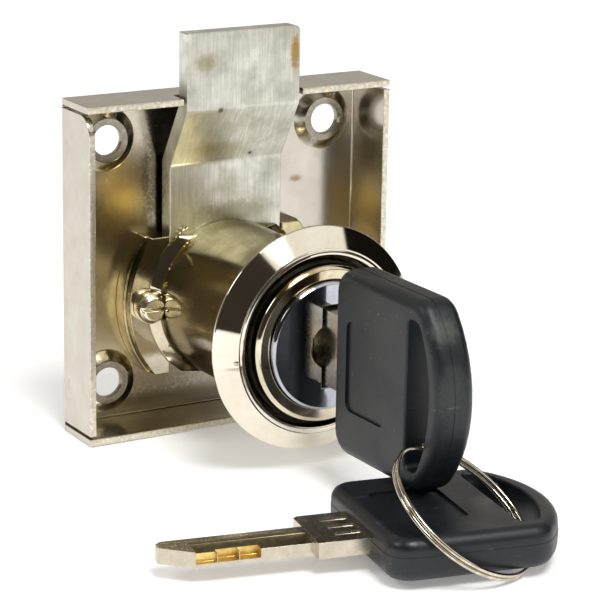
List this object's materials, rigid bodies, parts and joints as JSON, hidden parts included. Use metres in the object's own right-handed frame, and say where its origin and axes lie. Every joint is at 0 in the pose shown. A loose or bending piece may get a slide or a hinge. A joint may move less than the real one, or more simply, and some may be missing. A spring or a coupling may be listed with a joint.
{
  "type": "drawer lock",
  "caption": "Surface-mounted drawer lock: square pan case, round barrel with trim ring, thrown flat bolt, key in the barrel and a spare key on a split ring.",
  "frame": {"origin": "on the barrel axis, in the plane of the case rim that meets the back of the drawer front", "axes": "+Y along the barrel into the case, so the key goes in along +Y; +Z the way the bolt is thrown; +X to the right seen from the key side"},
  "size_m": [0.0526, 0.0666, 0.0501],
  "materials": {
    "case_nickel": "satin nickel plate",
    "cast_nickel": "nickel-plated zinc casting",
    "bright_nickel": "polished nickel plate",
    "cap_nickel": "polished nickel plate",
    "plug_nickel": "plated zinc casting",
    "rivet_steel": "plated steel",
    "bolt_steel": "brushed plated steel",
    "blade_nickel": "nickel plate over brass",
    "wafer_brass": "plain brass",
    "spring_steel": "spring steel",
    "ring_nickel": "bright nickel wire",
    "grip_plastic": "satin black-grey moulding"
  },
  "bodies": {
    "lock_body": {"case_plate": "case_nickel", "cylinder_body": "cast_nickel", "rivet_left": "rivet_steel", "rivet_right": "rivet_steel", "trim_ring": "bright_nickel"},
    "plug": {"plug": "plug_nickel", "plug_cap": "cap_nickel", "plug_clip": "spring_steel", "wafer_spring_1": "spring_steel", "wafer_spring_2": "spring_steel", "wafer_spring_3": "spring_steel", "wafer_spring_4": "spring_steel", "wafer_spring_5": "spring_steel"},
    "bolt": {"bolt": "bolt_steel"},
    "wafer_1": {"wafer_1": "wafer_brass"},
    "wafer_2": {"wafer_2": "wafer_brass"},
    "wafer_3": {"wafer_3": "wafer_brass"},
    "wafer_4": {"wafer_4": "wafer_brass"},
    "wafer_5": {"wafer_5": "wafer_brass"},
    "key": {"key_blade": "blade_nickel", "key_bow": "grip_plastic"},
    "key_ring": {"key_ring": "ring_nickel"},
    "spare_key": {"spare_key_blade": "blade_nickel", "spare_key_bow": "grip_plastic"}
  },
  "joints": [
    {"name": "plug_turn", "type": "hinge", "parent": "lock_body", "child": "plug", "pos_m": [0, 0, 0], "axis": [0, -1, 0], "range_deg": [0, 180]},
    {"name": "bolt_slide", "type": "slide", "parent": "lock_body", "child": "bolt", "axis": [0, 0, 1], "range_m": [-0.00771, 0]},
    {"name": "key_pull", "type": "slide", "parent": "plug", "child": "key", "axis": [0, -1, 0], "range_m": [0, 0.025]},
    {"name": "wafer_1_slide", "type": "slide", "parent": "plug", "child": "wafer_1", "axis": [0, 0, -1], "range_m": [0, 0.00061], "deforming": ["wafer_spring_1"]},
    {"name": "wafer_2_slide", "type": "slide", "parent": "plug", "child": "wafer_2", "axis": [0, 0, -1], "range_m": [0, 0.00061], "deforming": ["wafer_spring_2"]},
    {"name": "wafer_3_slide", "type": "slide", "parent": "plug", "child": "wafer_3", "axis": [0, 0, -1], "range_m": [0, 0.00061], "deforming": ["wafer_spring_3"]},
    {"name": "wafer_4_slide", "type": "slide", "parent": "plug", "child": "wafer_4", "axis": [0, 0, -1], "range_m": [0, 0.00061], "deforming": ["wafer_spring_4"]},
    {"name": "wafer_5_slide", "type": "slide", "parent": "plug", "child": "wafer_5", "axis": [0, 0, -1], "range_m": [0, 0.00061], "deforming": ["wafer_spring_5"]},
    {"name": "ring_turn", "type": "hinge", "parent": "key", "child": "key_ring", "pos_m": [-0.00095, -0.0499, -0.01052], "axis": [0.3649, -0.506, 0.7815], "range_deg": [-30, 0]},
    {"name": "spare_turn", "type": "hinge", "parent": "key_ring", "child": "spare_key", "pos_m": [-0.00095, -0.0499, -0.01052], "axis": [0.3649, -0.506, 0.7815], "range_deg": [-30, 0]}
  ],
  "couplings": [
    {"joint": "bolt_slide", "follows": "plug_turn", "m_per_rad": -0.002451},
    {"joint": "wafer_1_slide", "follows": "key_pull", "ratio": 0.024},
    {"joint": "wafer_2_slide", "follows": "key_pull", "ratio": 0.024},
    {"joint": "wafer_3_slide", "follows": "key_pull", "ratio": 0.024},
    {"joint": "wafer_4_slide", "follows": "key_pull", "ratio": 0.024},
    {"joint": "wafer_5_slide", "follows": "key_pull", "ratio": 0.024}
  ]
}
